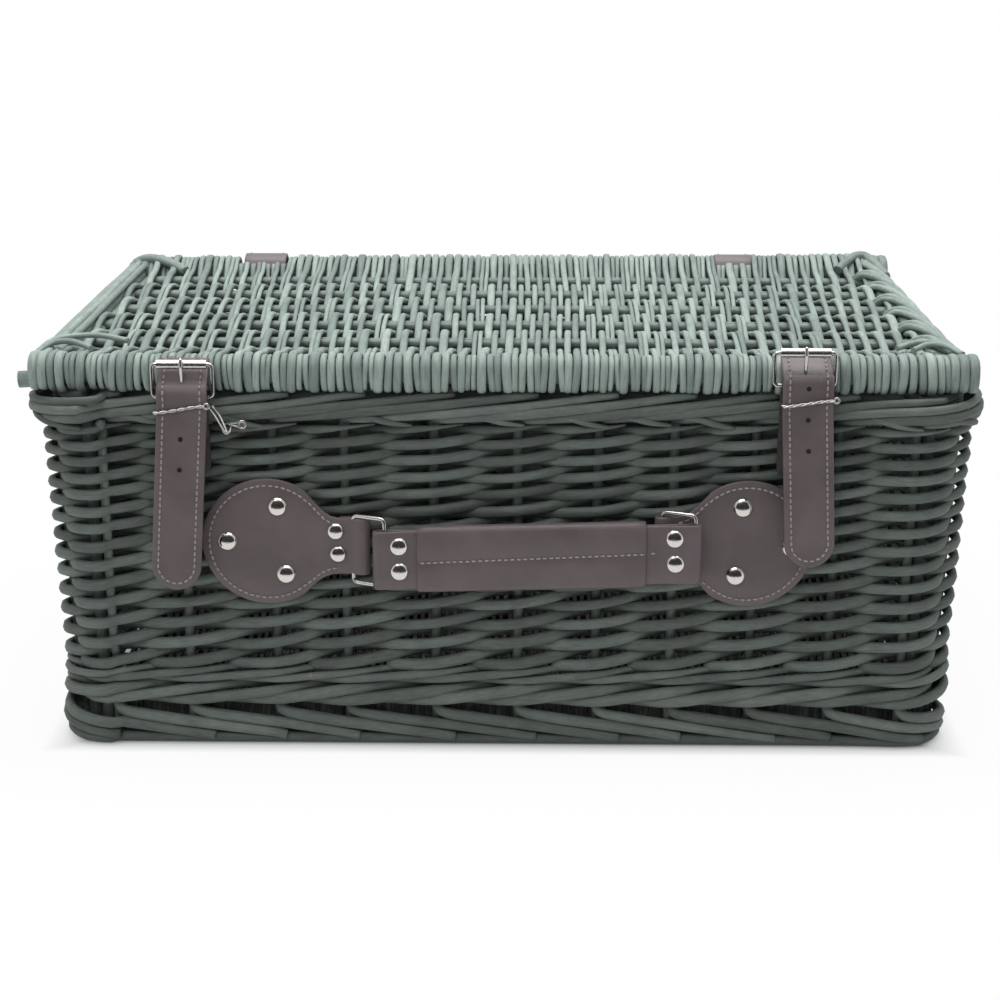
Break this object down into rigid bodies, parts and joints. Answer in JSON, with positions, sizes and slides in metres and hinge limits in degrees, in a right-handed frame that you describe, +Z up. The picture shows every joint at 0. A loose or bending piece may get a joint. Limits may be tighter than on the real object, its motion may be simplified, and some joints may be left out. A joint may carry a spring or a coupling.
{
  "type": "wicker hamper with lid",
  "caption": "Rectangular woven willow hamper with a hinged lid, buckled leather closure straps and a front carrying handle.",
  "frame": {"origin": "on the ground, under the middle of the basket", "axes": "+X to the right along the front, +Y towards the hinged back, +Z up"},
  "size_m": [0.459, 0.3169, 0.2103],
  "materials": {
    "painted_willow": "matt grey-green paint, worn",
    "grey_leather": "smooth grey leather",
    "nickel_wire": "bright nickel wire",
    "bright_rivet": "polished domes"
  },
  "bodies": {
    "basket": {"front_weave": "painted_willow", "right_weave": "painted_willow", "back_weave": "painted_willow", "left_weave": "painted_willow", "corner_weave": "painted_willow", "stakes": "painted_willow", "upsett_wale": "painted_willow", "top_border": "painted_willow", "foot_border": "painted_willow", "base_rails": "painted_willow", "base_sticks": "painted_willow", "base_weave": "painted_willow", "hinge_strap_left": "grey_leather", "hinge_strap_right": "grey_leather", "hinge_rivets": "bright_rivet", "handle_plate_left": "grey_leather", "handle_plate_right": "grey_leather", "plate_rivets": "bright_rivet", "neck_rivets": "bright_rivet", "chape_left": "grey_leather", "chape_right": "grey_leather", "chape_rivets": "bright_rivet", "keeper_left": "nickel_wire", "keeper_right": "nickel_wire", "keeper_tie": "nickel_wire", "keeper_pin": "nickel_wire"},
    "lid": {"lid_front_rail": "painted_willow", "lid_rear_rail": "painted_willow", "lid_sticks": "painted_willow", "lid_weave": "painted_willow", "lid_edge_rods": "painted_willow", "strap_tacks": "bright_rivet", "strap_head_left": "grey_leather", "strap_head_right": "grey_leather"},
    "handle": {"handle_strap": "grey_leather", "grip_sleeve": "grey_leather", "handle_rivets": "bright_rivet"},
    "strap_end_left": {"strap_tail_left": "grey_leather"},
    "buckle_left": {"buckle_frame_left": "nickel_wire"},
    "tongue_left": {"buckle_tongue_left": "nickel_wire"},
    "roller_left": {"buckle_roller_left": "nickel_wire"},
    "strap_end_right": {"strap_tail_right": "grey_leather"},
    "buckle_right": {"buckle_frame_right": "nickel_wire"},
    "tongue_right": {"buckle_tongue_right": "nickel_wire"},
    "roller_right": {"buckle_roller_right": "nickel_wire"},
    "ring_left": {"ring_left": "nickel_wire"},
    "ring_right": {"ring_right": "nickel_wire"}
  },
  "joints": [
    {"name": "lid_hinge", "type": "hinge", "parent": "basket", "child": "lid", "pos_m": [0, 0.1397, 0.1936], "axis": [-1, 0, 0], "range_deg": [0, 100]},
    {"name": "strap_fold_left", "type": "hinge", "parent": "lid", "child": "strap_end_left", "pos_m": [-0.155, -0.15886, 0.1803], "axis": [1, 0, 0], "range_deg": [0, 90], "deforming": ["strap_head_left", "strap_tail_left"]},
    {"name": "buckle_turn_left", "type": "hinge", "parent": "basket", "child": "buckle_left", "pos_m": [-0.155, -0.1549, 0.184], "axis": [1, 0, 0], "range_deg": [0, 60]},
    {"name": "tongue_turn_left", "type": "hinge", "parent": "buckle_left", "child": "tongue_left", "pos_m": [-0.155, -0.1549, 0.184], "axis": [1, 0, 0], "range_deg": [0, 45]},
    {"name": "roller_spin_left", "type": "hinge", "parent": "buckle_left", "child": "roller_left", "pos_m": [-0.155, -0.1549, 0.2], "axis": [1, 0, 0], "continuous": true},
    {"name": "strap_fold_right", "type": "hinge", "parent": "lid", "child": "strap_end_right", "pos_m": [0.1445, -0.15886, 0.1803], "axis": [1, 0, 0], "range_deg": [0, 90], "deforming": ["strap_head_right", "strap_tail_right"]},
    {"name": "buckle_turn_right", "type": "hinge", "parent": "basket", "child": "buckle_right", "pos_m": [0.1445, -0.1549, 0.1908], "axis": [1, 0, 0], "range_deg": [0, 60]},
    {"name": "tongue_turn_right", "type": "hinge", "parent": "buckle_right", "child": "tongue_right", "pos_m": [0.1445, -0.1549, 0.1908], "axis": [1, 0, 0], "range_deg": [0, 45]},
    {"name": "roller_spin_right", "type": "hinge", "parent": "buckle_right", "child": "roller_right", "pos_m": [0.1445, -0.1549, 0.2068], "axis": [1, 0, 0], "continuous": true},
    {"name": "ring_swing_left", "type": "hinge", "parent": "basket", "child": "ring_left", "pos_m": [-0.0745, -0.14966, 0.1076], "axis": [0, 0, -1], "range_deg": [0, 134]},
    {"name": "ring_swing_right", "type": "hinge", "parent": "basket", "child": "ring_right", "pos_m": [0.078, -0.14966, 0.1076], "axis": [0, 0, -1], "range_deg": [0, 134]},
    {"name": "handle_turn", "type": "hinge", "parent": "ring_left", "child": "handle", "pos_m": [-0.05839, -0.1565, 0.1076], "axis": [0, 0, -1], "range_deg": [-134, 0]}
  ],
  "couplings": [
    {"joint": "strap_fold_left", "follows": "lid_hinge", "ratio": 0.9},
    {"joint": "strap_fold_right", "follows": "lid_hinge", "ratio": 0.9},
    {"joint": "ring_swing_right", "follows": "ring_swing_left", "ratio": 1},
    {"joint": "handle_turn", "follows": "ring_swing_left", "ratio": -1}
  ]
}
